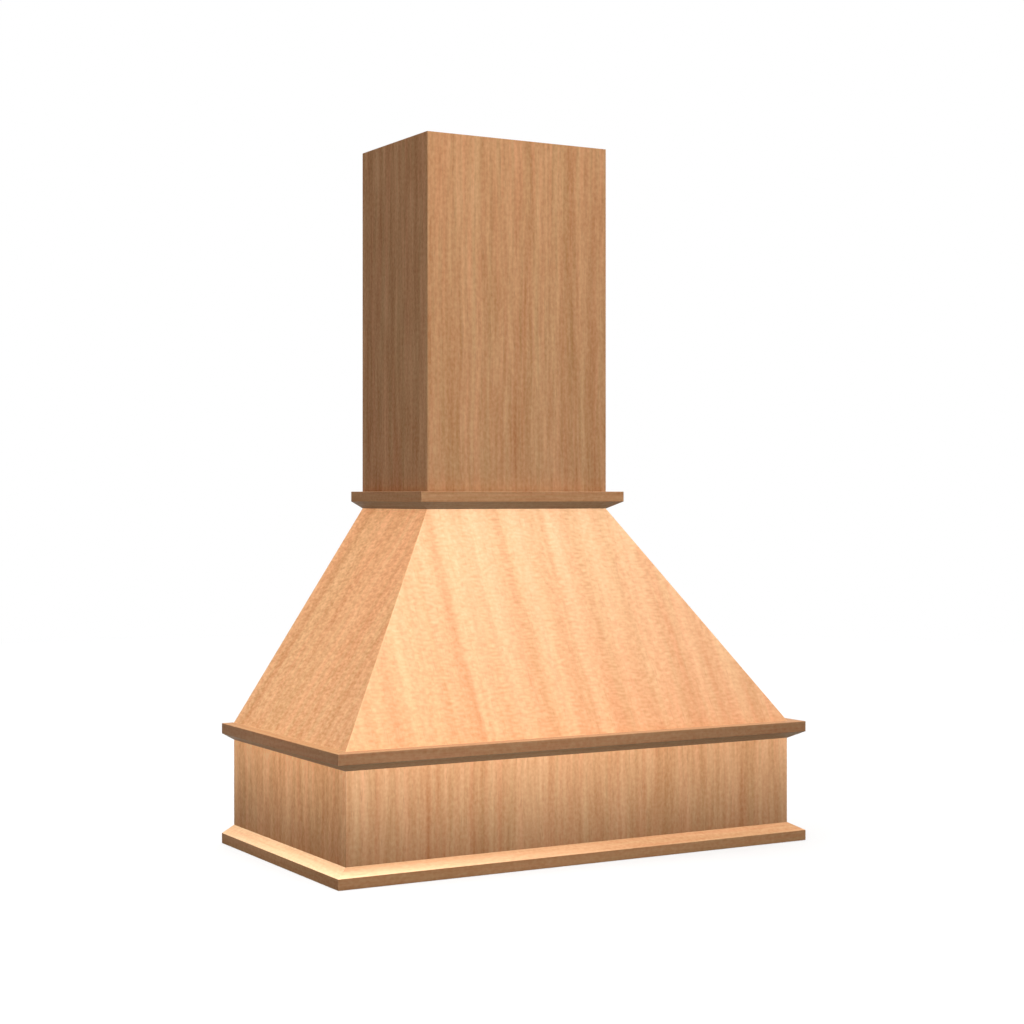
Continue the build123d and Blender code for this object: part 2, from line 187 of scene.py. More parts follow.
lights = maths(tree, "MULTIPLY_ADD", maths(tree, "SUBTRACT", bars, beads), curly, beads)
ripple = maths(tree, "MULTIPLY", given["Ripple"], stretch(tree, curl, 0.32, 0.68, 0.78, 1.14))
for layer, weight in ((broad, given["Broad"]), (streak, given["Streak"]),
                      (flecks, given["Fleck"]), (lights, ripple)):
    stripe = maths(tree, "MULTIPLY_ADD", maths(tree, "SUBTRACT", layer, 0.5), weight, stripe)
hue = mottle(tree, vectors(tree, "ADD", swayed, HUE_PLACE),
             vectors(tree, "MULTIPLY", band, HUE_SIZE), 2.0)
pores = mottle(tree, swayed, PORE_CELL, 1.0)
plug(tree, results["Stripe"], stretch(tree, stripe, -0.30, 0.30))
plug(tree, results["Hue"], stretch(
    tree, maths(tree, "MULTIPLY_ADD", flecks, 0.3, hue), 0.45, 0.85))
plug(tree, results["Pores"], stretch(tree, pores, 0.62, 0.78))
plug(tree, results["Lift"], maths(tree, "MULTIPLY", lights, ripple))

# Worn edge: a broken line along the outer edges, where hands and cloths rub.
PROBE_SAMPLES = 6
worn_edge, given, results = shader_group(
    "worn_edge", {"Place": "Vector", "Reach": "Float"}, {"Wear": "Float"})
tree = worn_edge
nearness = add_node(tree, "AmbientOcclusion", {"Distance": given["Reach"]},
                    samples=PROBE_SAMPLES, inside=True, only_local=True)["AO"]
rubbed = mottle(tree, given["Place"], (0.018, 0.018, 0.030), 3.0)
plug(tree, results["Wear"], maths(
    tree, "MULTIPLY", stretch(tree, nearness, 0.95, 0.55),
    stretch(tree, rubbed, 0.35, 0.65, 0.25, 1.0)))

# Corner shade and dust: a mask, strongest where two pieces meet in a hollow and little light gets
# in. It darkens the colour there as painted shade and raises the hardwood's roughness as dust
# does.
corner_shade_and_dust, given, results = shader_group(
    "corner_shade_and_dust", {"Place": "Vector", "Reach": "Float"}, {"ShadeAndDust": "Float"})
tree = corner_shade_and_dust
openness = add_node(tree, "AmbientOcclusion", {"Distance": given["Reach"]},
                    samples=PROBE_SAMPLES)["AO"]
patchy = mottle(tree, given["Place"], (0.030, 0.030, 0.040), 2.0)
plug(tree, results["ShadeAndDust"], maths(
    tree, "MULTIPLY", stretch(tree, openness, 0.75, 0.30),
    stretch(tree, patchy, 0.3, 0.7, 0.5, 1.0)))

# Plywood edge: veneers laid crosswise in turn, with a dark glue line between them.
ply_edge, given, results = shader_group(
    "ply_edge", {"Place": "Vector", "Depth": "Float", "Layer": "Float"},
    {"Color": "Color", "Height": "Float"})
tree = ply_edge
turn = maths(tree, "PINGPONG", maths(tree, "DIVIDE", given["Depth"], given["Layer"]), 1.0)
crosswise = stretch(tree, turn, 0.46, 0.54)
off_seam = maths(tree, "ABSOLUTE", maths(tree, "SUBTRACT", turn, 0.5))
glue = stretch(tree, off_seam, 0.10, 0.03)
strand = stretch(tree, mottle(tree, given["Place"], (0.0007, 0.0007, 0.0007), 2.0), 0.3, 0.7)
lengthwise_ply = blend(tree, strand, paint(214, 182, 138), paint(231, 204, 164))
crosswise_ply = blend(tree, strand, paint(168, 128, 88), paint(201, 164, 120))
plies = blend(tree, crosswise, lengthwise_ply, crosswise_ply)
plug(tree, results["Color"], blend(tree, glue, plies, paint(120, 86, 58)))
plug(tree, results["Height"], maths(tree, "MULTIPLY_ADD", crosswise, -0.5, strand))

# Birch face: the pale, even inner veneer, with a faint flame along the grain.
birch_face, given, results = shader_group(
    "birch_face", {"Place": "Vector"}, {"Color": "Color", "Height": "Float"})
tree = birch_face
flame = stretch(tree, mottle(tree, given["Place"], (0.030, 0.030, 0.22), 3.0), 0.35, 0.65)
fleck = stretch(tree, mottle(tree, given["Place"], (0.0016, 0.0016, 0.012), 2.0), 0.55, 0.75)
birch = blend(tree, flame, paint(216, 184, 140), paint(235, 209, 170))
plug(tree, results["Color"], tint(tree, birch, fleck, 0.5, paint(178, 138, 96)))
plug(tree, results["Height"], fleck)

# Hardwood: the reddish wood's colour, roughness and relief, for veneer and solid alike. Its dark
# streaks are redder than its light ones and its hue drifts between pink and olive. Its hollows are
# darkened as painted shade, and the colour is multiplied by the tone, which brings painted light
# and shade.
hardwood, given, results = shader_group(
    "hardwood", {"Place": "Vector", "Tone": "Color", "Contrast": "Float",
                 **dict.fromkeys(FIGURE, "Float")},
    {"Color": "Color", "Roughness": "Float", "Height": "Float"})
tree = hardwood
wood = place_group(tree, ribbon_stripe, Place=given["Place"],
                   **{label: given[label] for label in FIGURE})
swing = maths(tree, "MULTIPLY", given["Contrast"], 0.5)
stripe = stretch(tree, wood["Stripe"], 0.0, 1.0, maths(tree, "SUBTRACT", 0.5, swing),
                 maths(tree, "ADD", 0.5, swing))
pink = blend(tree, stripe, paint(198, 133, 87), paint(239, 181, 135))
olive = blend(tree, stripe, paint(194, 139, 91), paint(235, 187, 139))
colour = blend(tree, wood["Hue"], pink, olive)
colour = tint(tree, colour, wood["Pores"], maths(tree, "MULTIPLY", given["Contrast"], 0.26),
              paint(150, 98, 64))
wear = place_group(tree, worn_edge, Place=given["Place"], Reach=0.0016)["Wear"]
shade_and_dust = place_group(tree, corner_shade_and_dust, Place=given["Place"], Reach=0.012)["ShadeAndDust"]
colour = tint(tree, colour, wear, 0.22, paint(244, 200, 154))
# Painted shade in the hollows where pieces meet.
colour = tint(tree, colour, shade_and_dust, 0.30, paint(120, 84, 58))
plug(tree, results["Color"], blend(tree, 1.0, colour, given["Tone"], "MULTIPLY"))
plug(tree, results["Roughness"], maths(
    tree, "MULTIPLY_ADD", shade_and_dust, 0.2, stretch(tree, wood["Stripe"], 0.0, 1.0, 0.60, 0.50)))
plug(tree, results["Height"], maths(tree, "SUBTRACT", wood["Lift"], wood["Pores"]))


def new_material(name):
    material = bpy.data.materials.new(name)
    material.use_nodes = True
    return material, material.node_tree


def set_surface(tree, colour, roughness, height, rise, **plain_values):
    """Fills a material's shader. The height stands rise metres proud, and the plain values are
    the same all over."""
    surface = tree.nodes["Principled BSDF"].inputs
    plug(tree, surface["Base Color"], colour)
    plug(tree, surface["Roughness"], roughness)
    plug(tree, surface["Normal"], add_node(
        tree, "Bump", {"Distance": rise, "Strength": 0.6, "Height": height})[0])
    for label, value in plain_values.items():
        surface[label].default_value = value


def finish_part(name, material):
    """Gives a part of the frame its material."""
    for slot in parts[name].material_slots:
        slot.material = material


LACQUERED_RISE = 0.00012
LACQUER = {"Specular IOR Level": 0.06}
BOARD_LAYER = 0.00146


def veneered_board(name, across, along, shift, figure, contrast, painted_foot_shade, painted_head_light, painted_lean):
    """A veneered plywood board. Across and along are its face's directions, seen from outside.
    Its colour is multiplied by painted light and shade: by painted_foot_shade at its lower end,
    rising to painted_head_light at its upper end, and painted_lean is how much darker, as painted
    shade, its right-hand edge is than its middle."""
    outward = Vector(across).cross(Vector(along))
    corners = [v.co for v in parts[name].data.vertices]
    face = max(outward.dot(corner) for corner in corners)
    lengths = [Vector(along).dot(corner) for corner in corners]
    widths = [Vector(across).dot(corner) + shift for corner in corners]
    material, tree = new_material("veneer_" + name)
    axes = place_group(tree, grain_axes, Across=across, Along=along, Shift=shift)
    # Painted shade and light: darker towards the lower end, lighter towards the upper end.
    tone = blend(tree, stretch(tree, axes["Length"], min(lengths), max(lengths)),
                 (*painted_foot_shade, 1.0), (*painted_head_light, 1.0))
    # Painted shade: darker towards one edge than the other.
    side = stretch(tree, vectors(tree, "DOT_PRODUCT", axes["Place"], (1.0, 0.0, 0.0)),
                   min(widths), max(widths), 1.0 + painted_lean, 1.0 - painted_lean)
    tone = blend(tree, 1.0, tone, combine(tree, side, side, side), "MULTIPLY")
    wood = place_group(tree, hardwood, Place=axes["Place"], Tone=tone, Contrast=contrast, **figure)
    edge = place_group(tree, ply_edge, Place=axes["Place"], Layer=BOARD_LAYER,
                       Depth=maths(tree, "SUBTRACT", face, axes["Depth"]))
    inside = place_group(tree, birch_face, Place=axes["Place"])
    veneer = stretch(tree, axes["Facing"], 0.60, 0.62)
    back = stretch(tree, axes["Facing"], -0.60, -0.62)
    bare = blend(tree, back, edge["Color"], inside["Color"])
    set_surface(tree, blend(tree, veneer, bare, wood["Color"]),
                stretch(tree, veneer, 0.0, 1.0, 0.75, wood["Roughness"]),
                blend(tree, veneer, edge["Height"], wood["Height"]), LACQUERED_RISE, **LACQUER)
    finish_part(name, material)


UP = (0.0, 0.0, 1.0)
DOWN = (0.0, 0.0, -1.0)
FRONT = (1.0, 0.0, 0.0)
LEFT = (0.0, -1.0, 0.0)
RIGHT = (0.0, 1.0, 0.0)

NO_RIPPLE = {"Ripple": 0.0, "Bead Width": 0.01, "Bead Length": 0.01, "Curl": 0.0}
apron_figure = {**NO_RIPPLE, "Ribbon": 0.034, "Run": 2.2, "Broad": 0.68, "Evenness": 0.0,
                "Streak": 0.66, "Fleck": 0.40}
wide_figure = {**apron_figure, "Ribbon": 0.046, "Run": 1.5, "Broad": 0.66, "Fleck": 0.50}
# The apron boards are painted darker at the foot and lighter at the top, as painted shade and
# light.
veneered_board("apron_panel_front", FRONT, UP, shift=1.387, figure=apron_figure, contrast=1.0,
               painted_foot_shade=(0.36, 0.385, 0.40), painted_head_light=(1.33, 1.345, 1.37), painted_lean=-0.06)
for name, side, shift in (("apron_panel_left", LEFT, 4.343), ("apron_panel_right", RIGHT, 7.4)):
    veneered_board(name, side, UP, shift, figure=wide_figure, contrast=1.0,
                   painted_foot_shade=(0.405, 0.42, 0.40), painted_head_light=(1.56, 1.52, 1.44), painted_lean=0.03)


# ---------------------------------------------------------------------------------------------
# Mitre splines: thin plywood tongues glued into the corner mitres of the apron, the canopy and
# the chimney. Their ends show as small diagonal lines on the boards' ends.

# Birch plywood: faces, edges, wear and dust together.
birch_ply, given, results = shader_group(
    "birch_ply", {"Across": "Vector", "Along": "Vector", "Shift": "Float", "Layer": "Float"},
    {"Color": "Color", "Roughness": "Float", "Height": "Float"})
tree = birch_ply
axes = place_group(tree, grain_axes, Across=given["Across"], Along=given["Along"],
                   Shift=given["Shift"])
edge = place_group(tree, ply_edge, Place=axes["Place"], Depth=axes["Depth"],
                   Layer=given["Layer"])
sheet = place_group(tree, birch_face, Place=axes["Place"])
face = stretch(tree, maths(tree, "ABSOLUTE", axes["Facing"]), 0.60, 0.62)
wear = place_group(tree, worn_edge, Place=axes["Place"], Reach=0.0012)["Wear"]
shade_and_dust = place_group(tree, corner_shade_and_dust, Place=axes["Place"], Reach=0.02)["ShadeAndDust"]
colour = blend(tree, face, edge["Color"], sheet["Color"])
colour = tint(tree, colour, wear, 0.30, paint(240, 218, 182))
# Painted shade in the hollows where pieces meet.
plug(tree, results["Color"], tint(tree, colour, shade_and_dust, 0.35, paint(150, 118, 86)))
plug(tree, results["Roughness"], stretch(tree, sheet["Height"], 0.0, 1.0, 0.62, 0.78))
plug(tree, results["Height"], blend(tree, face, edge["Height"], sheet["Height"]))

BARE_RISE = 0.00015
SHEET_LAYER = 0.0015
SPLINE_LAYER = 0.001


def bare_wood(name, group, **values):
    """Gives an unlacquered part its own material from a whole wood's group."""
    material, tree = new_material(group.name + "_" + name)
    wood = place_group(tree, group, **values)
    set_surface(tree, wood["Color"], wood["Roughness"], wood["Height"], BARE_RISE)
    finish_part(name, material)


def plywood(name, across, along, shift, layer=SHEET_LAYER):
    """A strip or sheet of birch plywood. Across and along lie in its face."""
    bare_wood(name, birch_ply, Across=across, Along=along, Shift=shift, Layer=layer)


DIAGONAL = math.sqrt(0.5)
for corner, shift in (("apron", 11.0), ("chimney", 13.0)):
    plywood(corner + "_mitre_spline_left", (DIAGONAL, DIAGONAL, 0.0), UP, shift, SPLINE_LAYER)
    plywood(corner + "_mitre_spline_right", (-DIAGONAL, DIAGONAL, 0.0), UP, shift + 0.7,
            SPLINE_LAYER)
for name, shift in (("canopy_mitre_spline_left", 15.0), ("canopy_mitre_spline_right", 15.6)):
    plywood(name, (DIAGONAL, DIAGONAL, 0.0), UP, shift, SPLINE_LAYER)


# ---------------------------------------------------------------------------------------------
# Corner and hip blocks: three-cornered poplar strips, glued inside the corners of the apron and
# the chimney and up the canopy's hips, to back the mitres.

# Growth rings: circles about a heart a little way off the piece, warped along the grain.
WARP = 0.006
HEART = (0.031, 0.074, 0.0)
growth_rings, given, results = shader_group(
    "growth_rings", {"Place": "Vector", "Ring": "Float"}, {"Rings": "Float", "Pores": "Float"})
tree = growth_rings
warp = stretch(tree, mottle(tree, given["Place"], (0.05, 0.05, 0.35), 2.0), 0.3, 0.7, -WARP, WARP)
radial = vectors(tree, "MULTIPLY", vectors(tree, "ADD", given["Place"], HEART), (1.0, 1.0, 0.0))
distance = maths(tree, "SQRT", vectors(tree, "DOT_PRODUCT", radial, radial))
count = maths(tree, "DIVIDE", maths(tree, "ADD", distance, warp), given["Ring"])
plug(tree, results["Rings"], maths(tree, "POWER", maths(tree, "PINGPONG", count, 1.0), 1.6))
plug(tree, results["Pores"], stretch(
    tree, mottle(tree, given["Place"], (0.0009, 0.0009, 0.020), 1.0), 0.55, 0.75))

# Poplar: sawn and planed, cream with greenish heart streaks and darker end grain.
poplar_wood, given, results = shader_group(
    "poplar_wood", {"Across": "Vector", "Along": "Vector", "Shift": "Float"},
    {"Color": "Color", "Roughness": "Float", "Height": "Float"})
tree = poplar_wood
axes = place_group(tree, grain_axes, Across=given["Across"], Along=given["Along"],
                   Shift=given["Shift"])
wood = place_group(tree, growth_rings, Place=axes["Place"], Ring=0.0034)
heart = stretch(tree, mottle(tree, axes["Place"], (0.028, 0.028, 0.40), 2.0), 0.50, 0.66)
cream = blend(tree, wood["Rings"], paint(228, 211, 172), paint(211, 188, 145))
green = blend(tree, wood["Rings"], paint(190, 184, 138), paint(168, 160, 116))
sawn = blend(tree, wood["Rings"], paint(196, 170, 126), paint(160, 130, 90))
colour = tint(tree, cream, heart, 0.7, green)
colour = tint(tree, colour, wood["Pores"], 0.25, paint(150, 126, 90))
end = stretch(tree, axes["End"], 0.60, 0.75)
colour = blend(tree, end, colour, sawn)
wear = place_group(tree, worn_edge, Place=axes["Place"], Reach=0.0015)["Wear"]
shade_and_dust = place_group(tree, corner_shade_and_dust, Place=axes["Place"], Reach=0.02)["ShadeAndDust"]
colour = tint(tree, colour, wear, 0.30, paint(238, 224, 190))
# Painted shade in the hollows where pieces meet.
plug(tree, results["Color"], tint(tree, colour, shade_and_dust, 0.35, paint(140, 116, 84)))
plug(tree, results["Roughness"], stretch(tree, end, 0.0, 1.0, 0.62, 0.85))
plug(tree, results["Height"], maths(tree, "SUBTRACT", wood["Rings"], wood["Pores"]))


def poplar(name, across, along, shift):
    """A poplar strip. Across and along are its grain's directions."""
    bare_wood(name, poplar_wood, Across=across, Along=along, Shift=shift)


for corner, shift in (("apron", 21.0), ("chimney", 22.0)):
    poplar(corner + "_corner_block_left", FRONT, UP, shift)
    poplar(corner + "_corner_block_right", FRONT, UP, shift + 0.6)

apron_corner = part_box("apron_panel_front")[0]
canopy_low, canopy_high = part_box("canopy_panel_front")
rise = canopy_high.z - canopy_low.z
front_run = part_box("chimney_panel_front")[0].y - apron_corner.y
side_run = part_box("chimney_panel_left")[0].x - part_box("apron_panel_left")[0].x
for name, turn, shift in (("hip_block_left", 1, 23.0), ("hip_block_right", -1, 23.5)):
    hip = Vector((turn * side_run, front_run, rise)).normalized()
    square = Vector((turn * front_run, -side_run, 0.0)).normalized()
    poplar(name, square, hip, shift)


# ---------------------------------------------------------------------------------------------
# Base, shelf and collar mouldings: solid hardwood, planed to one section with a flat fascia and
# a bevel, cut to length with mitres at the front corners, glued and pinned round the box.

MOULDING_RING = 0.0022
BEVEL_DEPTH = 0.020
moulding_figure = {**NO_RIPPLE, "Ribbon": 0.014, "Run": 1.40, "Broad": 0.60, "Evenness": 0.0,
                   "Streak": 0.50, "Fleck": 0.50}


def moulding(name, across, along, shift, tone, painted_upper_light, painted_under_shade, painted_highlight=0.0, highlight_reach=1.0):
    """Solid moulding stock, with its grain along the length and end grain where it is sawn.
    Tone is its fascia's. Its upward faces and undersides are multiplied by painted_upper_light and
    painted_under_shade beside the fascia, as painted light and shade. Its upward faces also carry
    a painted highlight of strength painted_highlight, which fades out over the first
    highlight_reach metres of their length."""
    outward = Vector(across).cross(Vector(along))
    lengths = [Vector(along).dot(v.co) for v in parts[name].data.vertices]
    depths = [outward.dot(v.co) for v in parts[name].data.vertices]
    material, tree = new_material("moulding_" + name)
    axes = place_group(tree, grain_axes, Across=across, Along=along, Shift=shift)
    upward = stretch(tree, axes["Upward"], 0.3, 0.7)
    underside = stretch(tree, axes["Upward"], -0.3, -0.7)
    # Painted light on the upward faces and painted shade on the undersides.
    shade = blend(tree, upward, (1.0, 1.0, 1.0, 1.0), (*painted_upper_light, 1.0))
    shade = blend(tree, underside, shade, (*painted_under_shade, 1.0))
    shade = blend(tree, 1.0, shade, (*tone, 1.0), "MULTIPLY")
    wood = place_group(tree, hardwood, Place=axes["Place"], Tone=shade, Contrast=0.8,
                       **moulding_figure)
    # A painted highlight on the upward faces, strongest at the start of their length and at the
    # bevel's outer edge, in patches.
    painted_highlight_mask = maths(tree, "MULTIPLY", upward, stretch(
        tree, axes["Length"], min(lengths), min(lengths) + highlight_reach, painted_highlight, 0.0))
    painted_highlight_mask = maths(tree, "MULTIPLY", painted_highlight_mask, stretch(
        tree, axes["Depth"], max(depths) - BEVEL_DEPTH, max(depths), 0.1, 1.0))
    patches = mottle(tree, axes["Place"], (0.004, 0.004, 0.012), 1.0)
    painted_highlight_mask = maths(tree, "MULTIPLY", painted_highlight_mask, stretch(tree, patches, 0.3, 0.7, 0.76, 1.06))
    # The painted highlight's pale colour.
    colour = blend(tree, painted_highlight_mask, wood["Color"], paint(248, 205, 162))
    rings = place_group(tree, growth_rings, Place=axes["Place"], Ring=MOULDING_RING)
    sawn = blend(tree, rings["Rings"], paint(172, 118, 80), paint(138, 90, 60))
    end = stretch(tree, axes["End"], 0.80, 0.90)
    set_surface(tree, blend(tree, end, colour, sawn),
                stretch(tree, end, 0.0, 1.0, wood["Roughness"], 0.8), wood["Height"],
                LACQUERED_RISE, **LACQUER)
    finish_part(name, material)


BACK = (0.0, 1.0, 0.0)
# Painted light and shade for the mouldings' upward faces and undersides: lighter, darker or greyer
# by how light falls on them.
level_tone = (1.0, 1.0, 1.0)
grey_painted_under = (1.05, 1.45, 1.82)
dark_painted_upper = (0.60, 0.60, 0.60)
dark_painted_under = (0.50, 0.75, 1.07)
shelf_tone = (0.455, 0.445, 0.445)
collar_tone = (0.70, 0.70, 0.69)
# The fascia tones darken the solid wood, partly as its own darker colour and partly as painted
# shade; their differences between mouldings and between front and side pieces are painted light
# and shade.
moulding("base_moulding_front", DOWN, FRONT, 31.0, tone=(0.505, 0.49, 0.465),
         painted_upper_light=(1.11, 1.14, 1.20), painted_under_shade=grey_painted_under, painted_highlight=0.80, highlight_reach=0.60)
moulding("base_moulding_left", UP, BACK, 35.0, tone=(0.56, 0.54, 0.49),
         painted_upper_light=(1.33, 1.62, 2.02), painted_under_shade=grey_painted_under, painted_highlight=0.84, highlight_reach=0.60)
moulding("base_moulding_right", DOWN, BACK, 39.0, tone=(0.505, 0.49, 0.475),
         painted_upper_light=level_tone, painted_under_shade=grey_painted_under)
moulding("shelf_moulding_front", DOWN, FRONT, 32.0, shelf_tone, level_tone, grey_painted_under)
moulding("shelf_moulding_left", UP, BACK, 36.0, tone=(0.39, 0.36, 0.34),
         painted_upper_light=(1.17, 1.27, 1.25), painted_under_shade=grey_painted_under)
moulding("shelf_moulding_right", DOWN, BACK, 40.0, shelf_tone, level_tone, grey_painted_under)
moulding("collar_moulding_front", DOWN, FRONT, 33.0, collar_tone, dark_painted_upper, dark_painted_under)
moulding("collar_moulding_left", UP, BACK, 37.0, (0.63, 0.62, 0.59), dark_painted_upper, dark_painted_under)
moulding("collar_moulding_right", DOWN, BACK, 41.0, collar_tone, dark_painted_upper, dark_painted_under)


# ---------------------------------------------------------------------------------------------
# Shelf and neck frames: flat half-lapped plywood frames. The shelf frame closes the top of the
# apron and carries the canopy, and the neck frame ties the canopy's top and carries the chimney.

for level, shift in (("shelf", 41.0), ("neck", 45.0)):
    plywood(level + "_frame_front", LEFT, FRONT, shift)
    plywood(level + "_frame_rear", LEFT, FRONT, shift + 0.9)
    plywood(level + "_frame_left", FRONT, BACK, shift + 1.7)
    plywood(level + "_frame_right", FRONT, BACK, shift + 2.3)


# ---------------------------------------------------------------------------------------------
# Canopy: three thinner veneered boards that lean in from the apron to the chimney and meet in
# compound mitres along the hips. Their veneer runs up the slope, in broad ribbons with ripple.

up_front = Vector((0.0, front_run, rise)).normalized()
up_left = Vector((side_run, 0.0, rise)).normalized()
up_right = Vector((-side_run, 0.0, rise)).normalized()
curly_figure = {"Ribbon": 0.041, "Run": 2.40, "Broad": 0.70, "Evenness": 0.08, "Streak": 0.22,
                "Fleck": 0.14, "Ripple": 0.70, "Bead Width": 0.0086, "Bead Length": 0.0054,
                "Curl": 0.75}
beaded_figure = {**curly_figure, "Ribbon": 0.044, "Broad": 0.60, "Evenness": 0.04,
                 "Streak": 0.30, "Ripple": 0.86, "Bead Width": 0.0095, "Bead Length": 0.0048,
                 "Curl": 0.0}
# The canopy boards are painted darker at the foot and lighter at the top, as painted shade and
# light.
veneered_board("canopy_panel_front", FRONT, up_front, shift=51.0, figure=curly_figure,
               contrast=0.76, painted_foot_shade=(0.86, 0.82, 0.83), painted_head_light=(1.10, 1.23, 1.37), painted_lean=0.11)
for name, side, up, shift in (("canopy_panel_left", LEFT, up_left, 53.339),
                              ("canopy_panel_right", RIGHT, up_right, 56.0)):
    veneered_board(name, side, up, shift, figure=beaded_figure, contrast=0.92,
                   painted_foot_shade=(0.79, 0.79, 0.77), painted_head_light=(1.13, 1.07, 1.03), painted_lean=0.04)


# ---------------------------------------------------------------------------------------------
# Cleats: poplar strips on the frames. The canopy's are glued inside its foot, and the chimney's
# are fixed inside its foot, with screws up through the neck frame into the side ones.

poplar("canopy_cleat_front", UP, FRONT, 61.0)
poplar("chimney_cleat_front", UP, FRONT, 62.0)
for side, shift in (("left", 63.0), ("right", 64.0)):
    poplar("canopy_cleat_" + side, UP, BACK, shift)
    poplar("chimney_cleat_" + side, UP, BACK, shift + 0.5)


# ---------------------------------------------------------------------------------------------
# Chimney: three tall veneered boards, mitred at the front corners and open at the back and top.
# The veneer is cut from the same log as the apron's and runs upright.

chimney_figure = {**apron_figure, "Ribbon": 0.025, "Run": 1.6, "Broad": 0.68, "Evenness": 0.03,
                  "Streak": 0.62, "Fleck": 0.42}
chimney_side_figure = {**wide_figure, "Ribbon": 0.036, "Broad": 0.86}
# The chimney boards are painted darker at the foot and lighter at the top, as painted shade and
# light.
veneered_board("chimney_panel_front", FRONT, UP, shift=71.452, figure=chimney_figure,
               contrast=1.0, painted_foot_shade=(0.745, 0.765, 0.765), painted_head_light=(1.105, 1.085, 1.06), painted_lean=0.045)
for name, side, shift in (("chimney_panel_left", LEFT, 74.491),
                          ("chimney_panel_right", RIGHT, 77.2)):
    veneered_board(name, side, UP, shift, figure=chimney_side_figure, contrast=1.2,
                   painted_foot_shade=(0.70, 0.69, 0.67), painted_head_light=(1.02, 0.985, 0.96), painted_lean=-0.02)


# ---------------------------------------------------------------------------------------------
# Wall rails: poplar battens across the open back. All but the neck's are screwed to the wall
# through countersunk holes.

for number, name in enumerate(("lower_wall_rail", "canopy_wall_rail", "neck_rail",
                               "chimney_lower_wall_rail", "chimney_upper_wall_rail")):
    poplar(name, UP, FRONT, 81.0 + number)


# ---------------------------------------------------------------------------------------------
# Ledgers and insert board: poplar strips round the inside of the apron, and the plywood board
# with the cut-out for the extractor, screwed up to them.

for name, along, shift in (("ledger_front", FRONT, 91.0), ("ledger_rear", FRONT, 92.0),
                           ("ledger_left", BACK, 93.0), ("ledger_right", BACK, 94.0)):
    poplar(name, UP, along, shift)
plywood("insert_board", LEFT, FRONT, 96.0)


# ---------------------------------------------------------------------------------------------
# Screws: yellow zinc wood screws with countersunk heads and cross recesses. Four hold the
# chimney's side cleats and six hold the insert board, their heads level with the underside.

HEAD_RADIUS = 0.0040
HEAD_RIM = 0.00012
SHANK_RADIUS = 0.0020
PLAIN_SHANK = 0.0008
CORE_RADIUS = 0.0014
THREAD_PITCH = 0.0018
RINGS_PER_PITCH = 5
CREST_SLOPE = 2.2
POINT_LENGTH = 0.0040
RECESS_DEPTH = 0.0019
RECESS_TIP = 0.0021
SMOOTH_FROM = 0.0025
SPOKES = 48

zinc, tree = new_material("yellow_zinc")
spot = add_node(tree, "TexCoord", {})["Object"]
tarnish = stretch(tree, mottle(tree, spot, (0.0020, 0.0020, 0.0015), 3.0), 0.3, 0.7)
bloom = stretch(tree, mottle(tree, spot, (0.0042, 0.0042, 0.0042), 1.0), 0.35, 0.65)
plating = blend(tree, tarnish, paint(196, 158, 86), paint(226, 200, 134))
set_surface(tree, tint(tree, plating, bloom, 0.4, paint(190, 142, 120)),
            stretch(tree, tarnish, 0.0, 1.0, 0.42, 0.26), tarnish, rise=0.00003, Metallic=1.0)


def recess_radius(turn, arm, web):
    """How far a cross recess reaches from the middle, in the direction turn."""
    off = abs(math.remainder(turn, math.pi / 2))
    half_width = web * 0.5
    return min(arm / math.cos(off), max(web, half_width / max(math.sin(off), 1e-6)))


def screw_rings(length):
    """The rings of one screw from the recess floor, over the head and down the thread. Each
    point is a radius, an angle and a height above the head's face."""
    turns = [2 * math.pi * step / SPOKES for step in range(SPOKES)]
    rings = [[(0.45 * recess_radius(t, 0.0021, 0.00075), t, RECESS_DEPTH) for t in turns],
             [(recess_radius(t, 0.0022, 0.00080), t, 0.0) for t in turns],
             [(HEAD_RADIUS - HEAD_RIM, t, 0.0) for t in turns],
             [(HEAD_RADIUS, t, HEAD_RIM) for t in turns],
             [(SHANK_RADIUS, t, HEAD_RADIUS - SHANK_RADIUS) for t in turns]]
    start = HEAD_RADIUS - SHANK_RADIUS + PLAIN_SHANK
    steps = round((length - start) / (THREAD_PITCH / RINGS_PER_PITCH))
    for step in range(steps):
        level = start + (length - start) * step / steps
        taper = min(1.0, (length - level) / POINT_LENGTH)
        ring = []
        for t in turns:
            share = (level / THREAD_PITCH - t / (2 * math.pi)) % 1.0
            crest = max(0.0, 1.0 - abs(2 * share - 1.0) * CREST_SLOPE)
            radius = CORE_RADIUS + (SHANK_RADIUS - CORE_RADIUS) * crest
            ring.append((radius * taper, t, level))
        rings.append(ring)
    return rings


